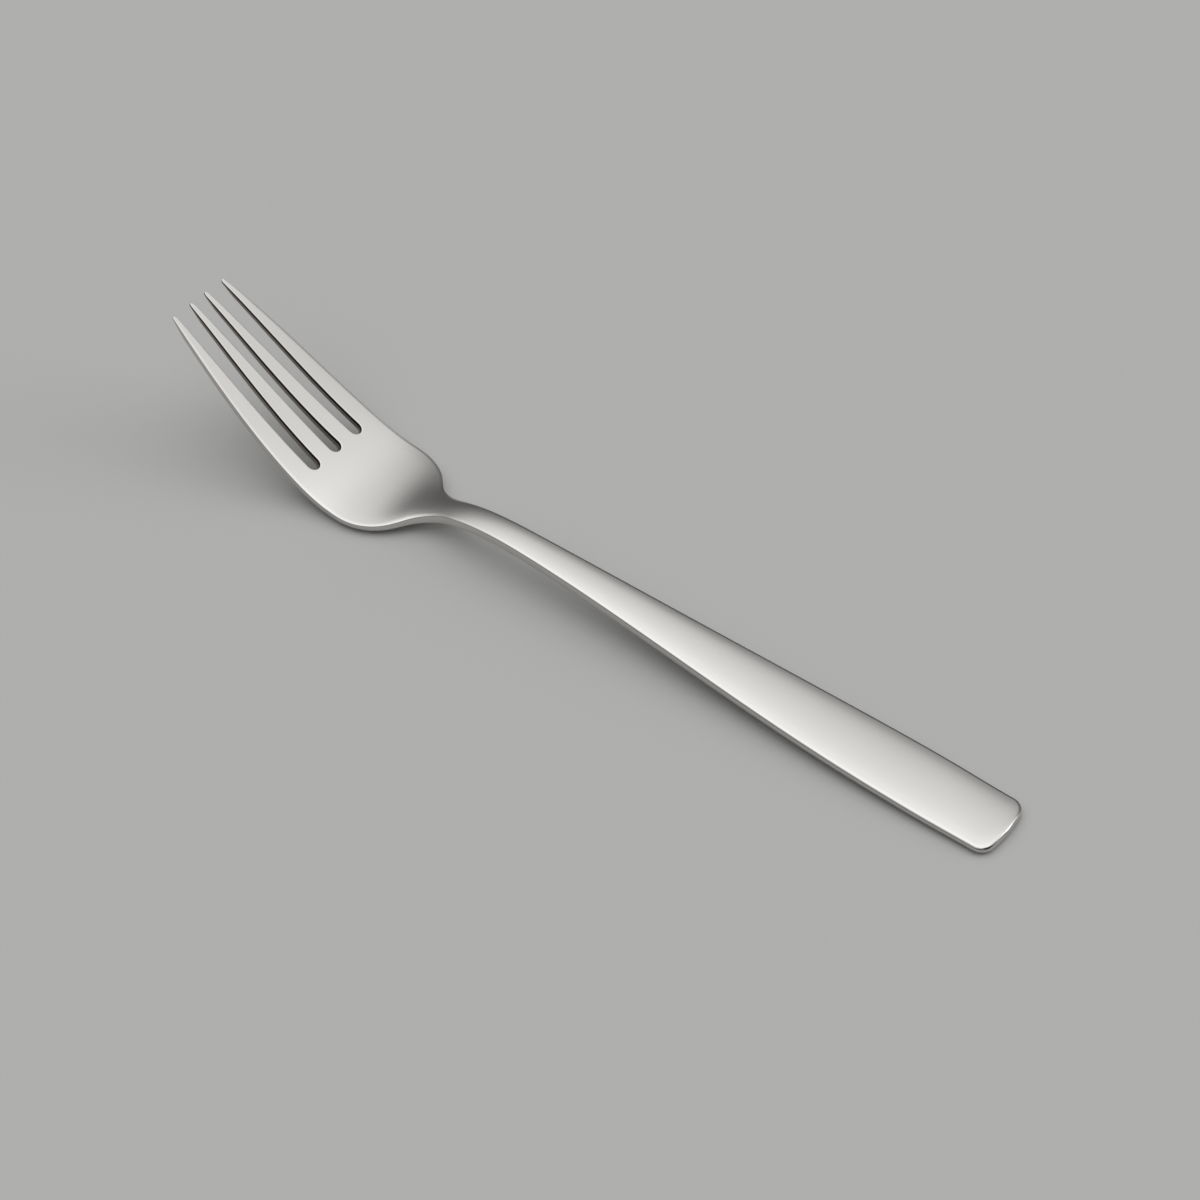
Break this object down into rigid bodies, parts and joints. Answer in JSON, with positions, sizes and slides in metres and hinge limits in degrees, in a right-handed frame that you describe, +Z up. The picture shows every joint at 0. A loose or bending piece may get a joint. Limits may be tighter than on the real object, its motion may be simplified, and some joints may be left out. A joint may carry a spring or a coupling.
{
  "type": "dinner fork",
  "caption": "One-piece stainless steel dinner fork: plain tapered handle with rounded corners, slim arched neck, dished head and slender round-nosed tines.",
  "frame": {"origin": "on the table, under the middle of the fork's length and width", "axes": "+X from the handle to the tips of the tines, +Z up with the fork lying on its back, +Y to the left"},
  "size_m": [0.205, 0.0276, 0.0272],
  "materials": {
    "stainless_steel": "satin polished"
  },
  "bodies": {
    "root": {"handle": "stainless_steel", "neck": "stainless_steel", "head": "stainless_steel", "left_outer_tine": "stainless_steel", "left_inner_tine": "stainless_steel", "right_inner_tine": "stainless_steel", "right_outer_tine": "stainless_steel"}
  },
  "joints": []
}
